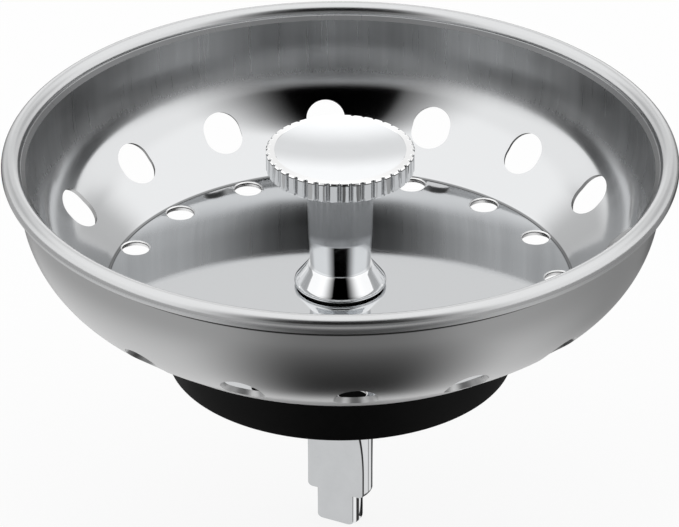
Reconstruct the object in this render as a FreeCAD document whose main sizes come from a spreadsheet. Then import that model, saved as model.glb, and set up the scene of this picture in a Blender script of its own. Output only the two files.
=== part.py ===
import FreeCAD, Part
import math
import os
import Sketcher

# Removable basket strainer for a kitchen sink drain. The origin is on the axis, at the plane where the
# rubber stopper meets the drain's seat. Z points up, out of the drain. Lengths are in millimetres.

# Sizes that can be set by themselves

DRIVING_SIZES = {
    # Basket
    "rim_diameter": 82.5,
    "rim_roll_diameter": 2.34,
    "rim_roll_gap": 0.25,
    "rim_flare_width": 0.56,
    "rim_flare_height": 0.45,
    "sheet_thickness": 0.7,
    "bowl_wall_height": 3.49,
    "bowl_corner_radius": 12.8,
    "bowl_slope_angle": 34.7,
    "bowl_slope_length": 5.16,
    "floor_bend_radius": 0.8,
    "hole_count": 16,
    "large_hole_width": 4.9,
    "large_hole_stretch": 0.9,
    "large_hole_angle": 46.5,
    "small_hole_diameter": 3.4,
    "small_hole_inset": 1.75,
    # Stopper and the washer over it
    "stopper_diameter": 42.6,
    "stopper_height": 8.3,
    "stopper_edge_radius": 1.0,
    "stopper_skirt_width": 5.0,
    "stopper_web_thickness": 3.3,
    "stopper_hub_diameter": 19.0,
    "backing_washer_diameter": 30.0,
    "backing_washer_thickness": 1.0,
    # Drain post
    "post_diameter": 8.1,
    "post_step_drop": 19.1,
    "post_step_width": 1.25,
    "post_top_height": 1.2,
    "post_tip_length": 4.2,
    "post_edge_radius": 0.5,
    "post_flat_count": 2,
    "post_blade_thickness": 2.8,
    "post_flat_height": 3.1,
    "post_runout_radius": 31.0,
    "post_shank_diameter": 4.0,
    "post_shank_chamfer": 0.4,
    # Parts clamped on the shank
    "lock_washer_width": 1.75,
    "lock_washer_thickness": 0.8,
    "lock_washer_split_angle": 9.0,
    "retaining_washer_diameter": 17.0,
    "retaining_washer_thickness": 1.0,
    "sleeve_wall": 1.15,
    "floor_washer_thickness": 0.4,
    # Collar
    "collar_height": 2.64,
    "collar_seam_width": 0.12,
    "collar_flare_width": 1.66,
    "collar_lip_height": 0.45,
    "collar_edge_radius": 0.2,
    "collar_rim_width": 0.68,
    "collar_floor_gap": 0.25,
    # Knob and its insert
    "neck_length": 13.2,
    "neck_wall": 0.8,
    "neck_taper_width": 0.28,
    "knob_diameter": 18.14,
    "knob_thickness": 2.6,
    "knob_bevel": 0.15,
    "knob_lip_width": 0.92,
    "knob_lip_drop": 0.05,
    "knob_dish_depth": 0.6,
    "knob_tooth_count": 40,
    "knob_groove_width": 0.66,
    "knob_groove_depth": 0.4,
    "insert_wall": 0.95,
    "insert_length": 8.0,
    "insert_end_room": 1.0,
    # How the handle is turned in the basket, and the room between parts
    "handle_turn_angle": 59.25,
    "running_clearance": 0.08,
    "fit_clearance": 0.05,
    "cut_overrun": 1.0,
}

SHEET_NAME = "Sizes"


class Size:
    # A number together with the expression that the document works it out from.

    def __init__(self, value, text):
        self.value = value
        self.text = text

    def __add__(self, other):
        other = asSize(other)
        return Size(self.value + other.value, f"({self.text} + {other.text})")

    def __radd__(self, other):
        return asSize(other) + self

    def __sub__(self, other):
        other = asSize(other)
        return Size(self.value - other.value, f"({self.text} - {other.text})")

    def __rsub__(self, other):
        return asSize(other) - self

    def __mul__(self, other):
        other = asSize(other)
        return Size(self.value * other.value, f"({self.text} * {other.text})")

    def __rmul__(self, other):
        return asSize(other) * self

    def __truediv__(self, other):
        other = asSize(other)
        return Size(self.value / other.value, f"({self.text} / {other.text})")

    def __neg__(self):
        return Size(-self.value, f"(-{self.text})")


def asSize(number):
    if isinstance(number, Size):
        return number
    return Size(float(number), repr(float(number)))


def sine(angle):
    return Size(math.sin(math.radians(angle.value)), f"sin({angle.text})")


def cosine(angle):
    return Size(math.cos(math.radians(angle.value)), f"cos({angle.text})")


def tangent(angle):
    return Size(math.tan(math.radians(angle.value)), f"tan({angle.text})")


def root(size):
    return Size(math.sqrt(size.value), f"sqrt({size.text})")


def square(size):
    return size * size


# The document and its sheet of sizes

doc = FreeCAD.newDocument("SinkStrainer")
sheet = doc.addObject("Spreadsheet::Sheet", SHEET_NAME)
for row, (name, value) in enumerate(DRIVING_SIZES.items(), start=1):
    sheet.set(f"A{row}", name)
    sheet.set(f"B{row}", str(value))
    sheet.setAlias(f"B{row}", name)
doc.recompute()


def size(name):
    return Size(float(sheet.get(name)), f"{SHEET_NAME}.{name}")


ZERO = asSize(0)


# Sketches and features

class Corner:
    # A corner of a closed outline. The edge that leaves it is straight, or an arc with the radius and
    # centre given here that turns to the left (+1) or to the right (-1).

    def __init__(self, x, y, radius=None, centre=None, turn=1):
        self.x = asSize(x)
        self.y = asSize(y)
        self.radius = radius
        self.centre = centre
        self.turn = turn

    def point(self):
        return FreeCAD.Vector(self.x.value, self.y.value, 0)


def originFeature(body, role):
    return next(feature for feature in body.Origin.OriginFeatures if feature.Role == role)


def newBody(label):
    body = doc.addObject("PartDesign::Body", label)
    body.Label = label
    return body


def newSketch(body, name, plane):
    sketch = body.newObject("Sketcher::SketchObject", name)
    sketch.AttachmentSupport = (originFeature(body, plane), [""])
    sketch.MapMode = "FlatFace"
    return sketch


def bindDatum(sketch, constraint, expression):
    index = sketch.addConstraint(constraint)
    sketch.setExpression(f"Constraints[{index}]", expression.text)


def placePoint(sketch, geometry, position, x, y):
    # A coordinate of zero holds the point on the sketch's own axis.
    if x.value == 0:
        sketch.addConstraint(Sketcher.Constraint("PointOnObject", geometry, position, -2))
    else:
        bindDatum(sketch, Sketcher.Constraint("DistanceX", -1, 1, geometry, position, x.value), x)
    if y.value == 0:
        sketch.addConstraint(Sketcher.Constraint("PointOnObject", geometry, position, -1))
    else:
        bindDatum(sketch, Sketcher.Constraint("DistanceY", -1, 1, geometry, position, y.value), y)


def arcEdge(corner, following):
    centre = FreeCAD.Vector(asSize(corner.centre[0]).value, asSize(corner.centre[1]).value, 0)
    first, last = (corner, following) if corner.turn > 0 else (following, corner)
    spoke = first.point() - centre
    start = math.atan2(spoke.y, spoke.x)
    spoke = last.point() - centre
    end = math.atan2(spoke.y, spoke.x)
    if end <= start:
        end += 2 * math.pi
    circle = Part.Circle(centre, FreeCAD.Vector(0, 0, 1), corner.radius.value)
    return Part.ArcOfCircle(circle, start, end)


def drawOutline(sketch, corners):
    followers = corners[1:] + corners[:1]
    ends = []
    for corner, following in zip(corners, followers):
        if corner.radius is None:
            edge = sketch.addGeometry(Part.LineSegment(corner.point(), following.point()))
            ends.append((edge, 1, 2))
        else:
            edge = sketch.addGeometry(arcEdge(corner, following))
            ends.append((edge, 1, 2) if corner.turn > 0 else (edge, 2, 1))
    for (edge, start, end), (nextEdge, nextStart, nextEnd) in zip(ends, ends[1:] + ends[:1]):
        sketch.addConstraint(Sketcher.Constraint("Coincident", edge, end, nextEdge, nextStart))
    for corner, (edge, start, end) in zip(corners, ends):
        placePoint(sketch, edge, start, corner.x, corner.y)
        if corner.radius is not None:
            bindDatum(sketch, Sketcher.Constraint("Radius", edge, corner.radius.value), corner.radius)


def drawCircle(sketch, x, y, radius):
    centre = FreeCAD.Vector(x.value, y.value, 0)
    edge = sketch.addGeometry(Part.Circle(centre, FreeCAD.Vector(0, 0, 1), radius.value))
    placePoint(sketch, edge, 3, x, y)
    bindDatum(sketch, Sketcher.Constraint("Radius", edge, radius.value), radius)


def turnSection(body, corners, turnAngle=None):
    # Turns a section, drawn in radius and height, about the axis.
    sketch = newSketch(body, f"{body.Label}_section", "XZ_Plane")
    drawOutline(sketch, corners)
    doc.recompute()
    turned = body.newObject("PartDesign::Revolution", f"{body.Label}_turned")
    turned.Profile = sketch
    turned.ReferenceAxis = (sketch, ["V_Axis"])
    turned.Angle = 360
    if turnAngle is not None:
        turned.setExpression("Angle", turnAngle.text)
    doc.recompute()
    return turned


def cutThrough(body, sketch, name, bothWays=False):
    pocket = body.newObject("PartDesign::Pocket", name)
    pocket.Profile = sketch
    pocket.Type = "ThroughAll"
    if bothWays:
        pocket.SideType = "Symmetric"
    else:
        pocket.Reversed = True
    doc.recompute()
    return pocket


def repeatAround(body, feature, name, count):
    volumeBefore = feature.Shape.Volume
    pattern = body.newObject("PartDesign::PolarPattern", name)
    pattern.Originals = [feature]
    pattern.Axis = (originFeature(body, "Z_Axis"), [""])
    pattern.Angle = 360
    pattern.setExpression("Occurrences", count.text)
    body.Tip = pattern
    doc.recompute()
    if pattern.Shape.Volume >= volumeBefore:
        raise RuntimeError(f"{name} removed nothing")


def standAt(body, height, turn=None):
    axis = FreeCAD.Vector(0, 0, 1)
    angle = 0 if turn is None else turn.value
    body.Placement = FreeCAD.Placement(FreeCAD.Vector(0, 0, height.value), FreeCAD.Rotation(axis, angle))
    if height.value != 0:
        body.setExpression("Placement.Base.z", height.text)
    if turn is not None:
        body.setExpression("Placement.Rotation.Angle", turn.text)


def ringCorners(innerRadius, outerRadius, height):
    return [
        Corner(innerRadius, ZERO),
        Corner(outerRadius, ZERO),
        Corner(outerRadius, height),
        Corner(innerRadius, height),
    ]


# Heights of the stack, counted from the drain seat

lockWasherHeight = size("post_top_height")
retainerHeight = lockWasherHeight + size("lock_washer_thickness")
sleeveHeight = retainerHeight + size("retaining_washer_thickness")
hubHeight = sleeveHeight + size("running_clearance")
backingHeight = size("stopper_height")
floorUnderside = backingHeight + size("backing_washer_thickness")
floorTop = floorUnderside + size("sheet_thickness")
floorWasherHeight = floorTop + size("running_clearance")
collarSeatHeight = floorWasherHeight + size("floor_washer_thickness")
collarFootHeight = floorTop + size("collar_floor_gap")
collarRecessDepth = collarSeatHeight - collarFootHeight
neckFootHeight = collarFootHeight + size("collar_height")
postStepHeight = -size("post_step_drop")
postFootHeight = postStepHeight - size("post_tip_length")

# Radii that mating parts share

shankRadius = size("post_shank_diameter") / 2
shankHoleRadius = shankRadius + size("fit_clearance")
sleeveRadius = shankHoleRadius + size("sleeve_wall")
sleeveBearingRadius = sleeveRadius + size("running_clearance")
sleeveFitRadius = sleeveRadius + size("fit_clearance")
insertRadius = shankHoleRadius + size("insert_wall")
insertHoleRadius = insertRadius + size("fit_clearance")
neckFootRadius = insertHoleRadius + size("neck_wall")
collarTopRadius = neckFootRadius + size("collar_seam_width")
collarRadius = collarTopRadius + size("collar_flare_width")
collarRecessRadius = collarRadius - size("collar_rim_width")


def makeBasket():
    body = newBody("basket")
    thickness = size("sheet_thickness")
    slope = size("bowl_slope_angle")
    rimRadius = size("rim_diameter") / 2
    rollRadius = size("rim_roll_diameter") / 2
    rollInside = rollRadius - thickness
    wallInside = rimRadius - 2 * rollRadius - size("rim_flare_width")
    wallOutside = wallInside + thickness

    # The wide curve between the slope and the upright wall
    curve = size("bowl_corner_radius")
    curveOutside = curve + thickness
    curveFootHeight = thickness + size("bowl_slope_length") * sine(slope)
    curveCentre = (wallInside - curve, curveFootHeight + curve * cosine(slope))

    # The bend where the flat floor turns up into the slope
    bend = size("floor_bend_radius")
    bendOutside = bend + thickness
    floorRadius = wallInside - curve * (1 - sine(slope)) - size("bowl_slope_length") * cosine(slope)
    bendCentre = (floorRadius - bend * tangent(slope / 2), thickness + bend)

    # The rolled rim, which stands out from the wall on a short flare and ends underneath
    rollCentre = (rimRadius - rollRadius, curveCentre[1] + size("bowl_wall_height"))
    flareFoot = rollCentre[1] - size("rim_flare_height")
    lapSine = (rollInside - size("rim_roll_gap")) / rollRadius
    lapCosine = root(1 - square(lapSine))

    def onSlope(centre, radius):
        return centre[0] + radius * sine(slope), centre[1] - radius * cosine(slope)

    def onLap(radius):
        return rollCentre[0] - radius * lapSine, rollCentre[1] - radius * lapCosine

    section = [
        Corner(sleeveBearingRadius, thickness),
        Corner(bendCentre[0], thickness, bend, bendCentre),
        Corner(*onSlope(bendCentre, bend)),
        Corner(*onSlope(curveCentre, curve), curve, curveCentre),
        Corner(wallInside, curveCentre[1]),
        Corner(wallInside, flareFoot),
        Corner(rollCentre[0] - rollRadius, rollCentre[1], rollRadius, rollCentre, turn=-1),
        Corner(*onLap(rollRadius)),
        Corner(*onLap(rollInside), rollInside, rollCentre),
        Corner(rollCentre[0] - rollInside, rollCentre[1]),
        Corner(wallOutside, flareFoot),
        Corner(wallOutside, curveCentre[1], curveOutside, curveCentre, turn=-1),
        Corner(*onSlope(curveCentre, curveOutside)),
        Corner(*onSlope(bendCentre, bendOutside), bendOutside, bendCentre, turn=-1),
        Corner(bendCentre[0], ZERO),
        Corner(sleeveBearingRadius, ZERO),
    ]
    turnSection(body, section)

    # Large oval holes, square to the wide curve and drawn from its centre
    tilt = size("large_hole_angle")
    sketch = newSketch(body, "large_hole", "XY_Plane")
    sketch.AttachmentOffset = FreeCAD.Placement(
        FreeCAD.Vector(curveCentre[0].value, 0, curveCentre[1].value),
        FreeCAD.Rotation(FreeCAD.Vector(0, 1, 0), 90 + tilt.value),
    )
    sketch.setExpression("AttachmentOffset.Base.x", curveCentre[0].text)
    sketch.setExpression("AttachmentOffset.Base.z", curveCentre[1].text)
    sketch.setExpression("AttachmentOffset.Rotation.Angle", (90 + tilt).text)
    halfWidth = size("large_hole_width") / 2
    reach = size("large_hole_stretch") / 2
    end = reach + halfWidth
    drawOutline(sketch, [
        Corner(reach, -halfWidth, halfWidth, (reach, ZERO)),
        Corner(end, ZERO, halfWidth, (reach, ZERO)),
        Corner(reach, halfWidth),
        Corner(-reach, halfWidth, halfWidth, (-reach, ZERO)),
        Corner(-end, ZERO, halfWidth, (-reach, ZERO)),
        Corner(-reach, -halfWidth),
    ])
    doc.recompute()
    pocket = cutThrough(body, sketch, "large_hole_cut")
    repeatAround(body, pocket, "large_holes", size("hole_count"))

    # Small round holes at the edge of the floor, in line with the large ones
    sketch = newSketch(body, "small_hole", "XY_Plane")
    drawCircle(sketch, floorRadius - size("small_hole_inset"), ZERO, size("small_hole_diameter") / 2)
    doc.recompute()
    pocket = cutThrough(body, sketch, "small_hole_cut")
    repeatAround(body, pocket, "small_holes", size("hole_count"))
    standAt(body, floorUnderside)
    return body


def makeStopper():
    body = newBody("stopper")
    radius = size("stopper_diameter") / 2
    edge = size("stopper_edge_radius")
    height = size("stopper_height")
    skirtInside = radius - size("stopper_skirt_width")
    hubRadius = size("stopper_hub_diameter") / 2
    cupDepth = height - size("stopper_web_thickness")
    turnSection(body, [
        Corner(sleeveBearingRadius, hubHeight),
        Corner(hubRadius, hubHeight),
        Corner(hubRadius, cupDepth),
        Corner(skirtInside, cupDepth),
        Corner(skirtInside, ZERO),
        Corner(radius, ZERO),
        Corner(radius, height - edge, edge, (radius - edge, height - edge)),
        Corner(radius - edge, height),
        Corner(sleeveBearingRadius, height),
    ])
    return body


def makeBackingWasher():
    body = newBody("backing_washer")
    outerRadius = size("backing_washer_diameter") / 2
    turnSection(body, ringCorners(sleeveBearingRadius, outerRadius, size("backing_washer_thickness")))
    standAt(body, backingHeight)
    return body


def makeDrainPost():
    body = newBody("drain_post")
    radius = size("post_diameter") / 2
    tipRadius = radius - size("post_step_width")
    edge = size("post_edge_radius")
    chamfer = size("post_shank_chamfer")
    step = size("post_tip_length")
    top = step + size("post_step_drop") + size("post_top_height")
    shankTop = neckFootHeight - postFootHeight + size("insert_length")
    turnSection(body, [
        Corner(ZERO, ZERO),
        Corner(tipRadius - edge, ZERO, edge, (tipRadius - edge, edge)),
        Corner(tipRadius, edge),
        Corner(tipRadius, step),
        Corner(radius - edge, step, edge, (radius - edge, step + edge)),
        Corner(radius, step + edge),
        Corner(radius, top),
        Corner(shankRadius, top),
        Corner(shankRadius, shankTop - chamfer),
        Corner(shankRadius - chamfer, shankTop),
        Corner(ZERO, shankTop),
    ])

    # Two flats make a blade that passes the crossbar's slot. Above the step they run out in a wide arc.
    halfBlade = size("post_blade_thickness") / 2
    flatHeight = step + size("post_flat_height")
    outside = radius + size("cut_overrun")
    runout = size("post_runout_radius")
    runoutRise = root(square(runout) - square(runout + halfBlade - outside))
    sketch = newSketch(body, "flat", "XZ_Plane")
    drawOutline(sketch, [
        Corner(halfBlade, ZERO),
        Corner(halfBlade, flatHeight, runout, (halfBlade + runout, flatHeight), turn=-1),
        Corner(outside, flatHeight + runoutRise),
        Corner(outside, ZERO),
    ])
    doc.recompute()
    pocket = cutThrough(body, sketch, "flat_cut", bothWays=True)
    repeatAround(body, pocket, "flats", size("post_flat_count"))
    standAt(body, postFootHeight, size("handle_turn_angle"))
    return body


def makeLockWasher():
    body = newBody("lock_washer")
    outerRadius = shankHoleRadius + size("lock_washer_width")
    ring = ringCorners(shankHoleRadius, outerRadius, size("lock_washer_thickness"))
    turnSection(body, ring, 360 - size("lock_washer_split_angle"))
    standAt(body, lockWasherHeight)
    return body


def makeRetainingWasher():
    body = newBody("retaining_washer")
    outerRadius = size("retaining_washer_diameter") / 2
    turnSection(body, ringCorners(shankHoleRadius, outerRadius, size("retaining_washer_thickness")))
    standAt(body, retainerHeight)
    return body


def makeSpacerSleeve():
    body = newBody("spacer_sleeve")
    turnSection(body, ringCorners(shankHoleRadius, sleeveRadius, collarSeatHeight - sleeveHeight))
    standAt(body, sleeveHeight)
    return body


def makeFloorWasher():
    body = newBody("floor_washer")
    outerRadius = collarRecessRadius - size("fit_clearance")
    turnSection(body, ringCorners(sleeveFitRadius, outerRadius, size("floor_washer_thickness")))
    standAt(body, floorWasherHeight)
    return body


def makeCollar():
    body = newBody("collar")
    edge = size("collar_edge_radius")
    height = size("collar_height")
    turnSection(body, [
        Corner(collarRecessRadius, ZERO),
        Corner(collarRadius - edge, ZERO, edge, (collarRadius - edge, edge)),
        Corner(collarRadius, edge),
        Corner(collarRadius, size("collar_lip_height")),
        Corner(collarTopRadius, height),
        Corner(shankHoleRadius, height),
        Corner(shankHoleRadius, collarRecessDepth),
        Corner(collarRecessRadius, collarRecessDepth),
    ])
    standAt(body, collarFootHeight)
    return body


def makeKnob():
    body = newBody("knob")
    radius = size("knob_diameter") / 2
    bevel = size("knob_bevel")
    neckLength = size("neck_length")
    top = neckLength + size("knob_thickness")
    shoulder = top - size("knob_lip_drop")
    dishRadius = radius - bevel - size("knob_lip_width")
    dishDepth = size("knob_dish_depth")
    dishCurve = (square(dishRadius) + square(dishDepth)) / (2 * dishDepth)
    insertEnd = size("insert_length")
    boreEnd = insertEnd + size("insert_end_room")
    turnSection(body, [
        Corner(insertHoleRadius, ZERO),
        Corner(neckFootRadius, ZERO),
        Corner(neckFootRadius + size("neck_taper_width"), neckLength),
        Corner(radius - bevel, neckLength),
        Corner(radius, neckLength + bevel),
        Corner(radius, shoulder - bevel),
        Corner(radius - bevel, shoulder),
        Corner(dishRadius, top, dishCurve, (ZERO, top - dishDepth + dishCurve), turn=-1),
        Corner(ZERO, top - dishDepth),
        Corner(ZERO, boreEnd),
        Corner(shankHoleRadius, boreEnd),
        Corner(shankHoleRadius, insertEnd),
        Corner(insertHoleRadius, insertEnd),
    ])

    # Grooves that leave the straight teeth of the grip
    grooveDepth = size("knob_groove_depth")
    overrun = size("cut_overrun")
    mouth = size("knob_groove_width") / 2 * (grooveDepth + overrun) / grooveDepth
    sketch = newSketch(body, "groove", "XY_Plane")
    sketch.AttachmentOffset = FreeCAD.Placement(FreeCAD.Vector(0, 0, neckLength.value), FreeCAD.Rotation())
    sketch.setExpression("AttachmentOffset.Base.z", neckLength.text)
    drawOutline(sketch, [
        Corner(radius - grooveDepth, ZERO),
        Corner(radius + overrun, -mouth),
        Corner(radius + overrun, mouth),
    ])
    doc.recompute()
    pocket = cutThrough(body, sketch, "groove_cut")
    repeatAround(body, pocket, "grooves", size("knob_tooth_count"))
    standAt(body, neckFootHeight, size("handle_turn_angle"))
    return body


def makeKnobInsert():
    body = newBody("knob_insert")
    turnSection(body, ringCorners(shankHoleRadius, insertRadius, size("insert_length")))
    standAt(body, neckFootHeight)
    return body


PARTS = [
    makeBasket(),
    makeStopper(),
    makeBackingWasher(),
    makeDrainPost(),
    makeLockWasher(),
    makeRetainingWasher(),
    makeSpacerSleeve(),
    makeFloorWasher(),
    makeCollar(),
    makeKnob(),
    makeKnobInsert(),
]

# Every object is checked before anything is written

doc.recompute()
for item in doc.Objects:
    if "Invalid" in item.State or "Error" in item.State:
        raise RuntimeError(f"{item.Label} failed to build: {item.State}")
for body in PARTS:
    if body.Shape.isNull() or not body.Shape.isValid():
        raise RuntimeError(f"{body.Label} has no valid shape")
    if len(body.Shape.Solids) != 1:
        raise RuntimeError(f"{body.Label} is not one solid")

os.makedirs("parts", exist_ok=True)
for body in PARTS:
    body.Shape.exportStep(f"parts/{body.Label}.step")
    box = body.Shape.optimalBoundingBox(True, False)
    print(f"{body.Label}: {body.Shape.Volume:.1f} mm3")
    print(f"  z {box.ZMin:.2f} to {box.ZMax:.2f}, x {box.XMin:.2f} to {box.XMax:.2f}")
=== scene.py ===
import math

import bmesh
import bpy
from mathutils import Matrix, Vector


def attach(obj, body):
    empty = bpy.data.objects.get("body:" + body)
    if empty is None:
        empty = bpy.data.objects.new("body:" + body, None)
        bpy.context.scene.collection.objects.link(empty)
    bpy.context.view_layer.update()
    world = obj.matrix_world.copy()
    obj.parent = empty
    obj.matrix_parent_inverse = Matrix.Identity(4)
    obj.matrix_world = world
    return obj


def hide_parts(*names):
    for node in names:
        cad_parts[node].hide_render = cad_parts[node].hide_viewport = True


# Basket strainer for a kitchen sink. Sizes in the dictionaries are in millimetres and degrees,
# heights count from the underside of the rubber stopper, and the finished meshes are in metres.
# In the looks, a pair says where a mask begins and where it is full, four numbers say where a
# band begins, is full, fades and is gone, and three are a noise's scale, detail and roughness.

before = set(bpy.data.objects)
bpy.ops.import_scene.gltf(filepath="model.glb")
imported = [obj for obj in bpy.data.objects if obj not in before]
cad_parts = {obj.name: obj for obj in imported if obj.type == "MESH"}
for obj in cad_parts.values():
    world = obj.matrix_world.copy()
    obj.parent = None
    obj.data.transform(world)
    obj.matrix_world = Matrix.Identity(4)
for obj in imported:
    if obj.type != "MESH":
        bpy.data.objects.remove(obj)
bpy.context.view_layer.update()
scene = bpy.context.scene
print("frame loaded with", len(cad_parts), "nodes")


# Turned shapes

meshing = {
    "metresPerMillimetre": 0.001,
    "millimetresPerMetre": 1000.0,
    "mergeDistance": 0.0005,
    "ringMergeMetres": 0.000001,
    "sliceAngleError": 0.0001,
}


class Section:
    # half of a turned piece, drawn in radius and height with lines and arcs

    def __init__(self, radius, height):
        self.bm = bmesh.new()
        self.first = self.bm.verts.new((radius, 0, height))
        self.last = self.first

    def lineTo(self, radius, height, cuts=0):
        start = self.last.co.copy()
        end = Vector((radius, 0, height))
        for step in range(1, cuts + 2):
            following = self.bm.verts.new(start.lerp(end, step / (cuts + 1)))
            self.bm.edges.new((self.last, following))
            self.last = following

    def arcAround(self, radius, height, degrees, steps):
        # a positive angle bends to the left of the way the line is going
        swept = bmesh.ops.spin(self.bm, geom=[self.last], cent=(radius, 0, height), axis=(0, 1, 0),
                               angle=-math.radians(degrees), steps=steps)
        self.last = [part for part in swept["geom_last"] if isinstance(part, bmesh.types.BMVert)][0]

    def close(self):
        self.bm.edges.new((self.last, self.first))

    def turn(self, steps):
        bm = self.bm
        bmesh.ops.spin(bm, geom=bm.verts[:] + bm.edges[:], cent=(0, 0, 0), axis=(0, 0, 1),
                       angle=math.tau, steps=steps, use_merge=True)
        bmesh.ops.remove_doubles(bm, verts=bm.verts[:], dist=meshing["mergeDistance"])
        bmesh.ops.recalc_face_normals(bm, faces=bm.faces[:])
        return bm

    def turnWedge(self, steps, angle):
        # a closed slice that lies evenly on both sides of +X
        bm = self.bm
        bmesh.ops.contextual_create(bm, geom=bm.edges[:])
        rotateBy(bm, -angle / 2, "Z")
        bmesh.ops.spin(bm, geom=bm.verts[:] + bm.edges[:] + bm.faces[:], cent=(0, 0, 0), axis=(0, 0, 1),
                       angle=angle, steps=steps)
        bmesh.ops.recalc_face_normals(bm, faces=bm.faces[:])
        return bm


def rotateBy(bm, angle, axis):
    bmesh.ops.rotate(bm, verts=bm.verts[:], cent=(0, 0, 0), matrix=Matrix.Rotation(angle, 3, axis))


def meshObject(bm, name):
    # millimetres to metres, then off to a mesh of its own
    scale = meshing["metresPerMillimetre"]
    bmesh.ops.scale(bm, vec=(scale, scale, scale), verts=bm.verts[:])
    mesh = bpy.data.meshes.new(name)
    bm.to_mesh(mesh)
    bm.free()
    made = bpy.data.objects.new(name, mesh)
    scene.collection.objects.link(made)
    return made


def cutAway(piece, cutter):
    cut = piece.modifiers.new("cut", "BOOLEAN")
    cut.operation = "DIFFERENCE"
    cut.solver = "EXACT"
    cut.object = cutter
    uncut = piece.data
    evaluated = piece.evaluated_get(bpy.context.evaluated_depsgraph_get())
    piece.data = bpy.data.meshes.new_from_object(evaluated)
    piece.modifiers.remove(cut)
    bpy.data.meshes.remove(uncut)
    bpy.data.meshes.remove(cutter.data)


def standIn(piece, node, body, material, sharpAngle):
    # smooth shading up to the sharp angle, then the piece takes the CAD node's place
    piece.data.shade_smooth()
    piece.data.set_sharp_from_angle(angle=math.radians(sharpAngle))
    piece.data.materials.clear()
    piece.data.materials.append(material)
    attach(piece, body)
    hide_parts(node)


# Materials as sums

class Amount:
    # a number that comes out of a node, so that masks can be written as Python

    def __init__(self, shades, socket):
        self.shades = shades
        self.socket = socket

    def __add__(self, other):
        return self.shades.maths("ADD", self, other)

    def __radd__(self, other):
        return self.shades.maths("ADD", other, self)

    def __sub__(self, other):
        return self.shades.maths("SUBTRACT", self, other)

    def __rsub__(self, other):
        return self.shades.maths("SUBTRACT", other, self)

    def __mul__(self, other):
        return self.shades.maths("MULTIPLY", self, other)

    def __truediv__(self, other):
        return self.shades.maths("DIVIDE", self, other)

    def __neg__(self):
        return self.shades.maths("MULTIPLY", self, -1.0)


class Shades:
    # a node tree that is filled from Python, for a material or the world

    def __init__(self, tree):
        self.tree = tree
        tree.nodes.clear()

    def node(self, kind, settings=None, sockets=None):
        made = self.tree.nodes.new(kind)
        for name, setting in (settings or {}).items():
            setattr(made, name, setting)
        for name, value in (sockets or {}).items():
            if isinstance(value, Amount):
                self.tree.links.new(value.socket, made.inputs[name])
            else:
                made.inputs[name].default_value = value
        return made

    def out(self, node, name):
        return Amount(self, node.outputs[name])

    def maths(self, operation, *values):
        sockets = dict(enumerate(values))
        return self.out(self.node("ShaderNodeMath", {"operation": operation}, sockets), 0)

    def root(self, value):
        return self.maths("SQRT", value)

    def size(self, value):
        return self.maths("ABSOLUTE", value)

    def highest(self, one, other):
        return self.maths("MAXIMUM", one, other)

    def rise(self, value, ends, start=0.0):
        # eased from 0 at the first end to 1 at the second, both counted from the start
        low, high = ends
        made = self.node("ShaderNodeMapRange", {"interpolation_type": "SMOOTHSTEP"},
                         {"Value": value, "From Min": start + low, "From Max": start + high})
        return self.out(made, "Result")

    def band(self, value, ends, start=0.0):
        begins, full, fades, gone = ends
        return self.rise(value, (begins, full), start) * self.rise(value, (gone, fades), start)

    def split(self, vector):
        made = self.node("ShaderNodeSeparateXYZ", None, {"Vector": vector})
        return [self.out(made, axis) for axis in "XYZ"]

    def join(self, x, y, z):
        return self.out(self.node("ShaderNodeCombineXYZ", None, {"X": x, "Y": y, "Z": z}), 0)

    def noise(self, vector, scale, detail, roughness):
        made = self.node("ShaderNodeTexNoise", None, {
            "Vector": vector, "Scale": scale, "Detail": detail, "Roughness": roughness})
        return self.out(made, "Fac")

    def rings(self, radius, z, density):
        # the fine lines that turning leaves
        return self.noise(self.join(radius * density, z * density, 0.0), 1.0, 2.0, 0.5)

    def vary(self, middle, noise, spread):
        return middle + (noise - 0.5) * spread

    def blendNumbers(self, share, one, other):
        return one + share * (other - one)

    def blendColours(self, share, one, other):
        made = self.node("ShaderNodeMix", {"data_type": "RGBA"}, {0: share, 6: one, 7: other})
        return self.out(made, 2)

    def millimetres(self):
        # place on the piece in millimetres, and the distance from the turning axis
        coordinates = self.node("ShaderNodeTexCoord")
        scaled = self.node("ShaderNodeVectorMath", {"operation": "SCALE"},
                           {0: self.out(coordinates, "Object"), "Scale": meshing["millimetresPerMetre"]})
        x, y, z = self.split(self.out(scaled, 0))
        return x, y, z, self.root(x * x + y * y)

    def bump(self, height, strength, depth):
        made = self.node("ShaderNodeBump", None, {
            "Height": height, "Strength": strength, "Distance": depth * meshing["metresPerMillimetre"]})
        return self.out(made, "Normal")


def newLook(name):
    material = bpy.data.materials.new(name)
    material.use_nodes = True
    return material, Shades(material.node_tree)


def finishLook(shades, sockets):
    surface = shades.node("ShaderNodeBsdfPrincipled", None, sockets)
    shades.node("ShaderNodeOutputMaterial", None, {"Surface": shades.out(surface, "BSDF")})


def grey(level, tint=0.0):
    return (level * (1 - tint), level, level * (1 + tint), 1.0)


# Basket: one drawn sheet with a rolled rim and two rings of holes

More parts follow.
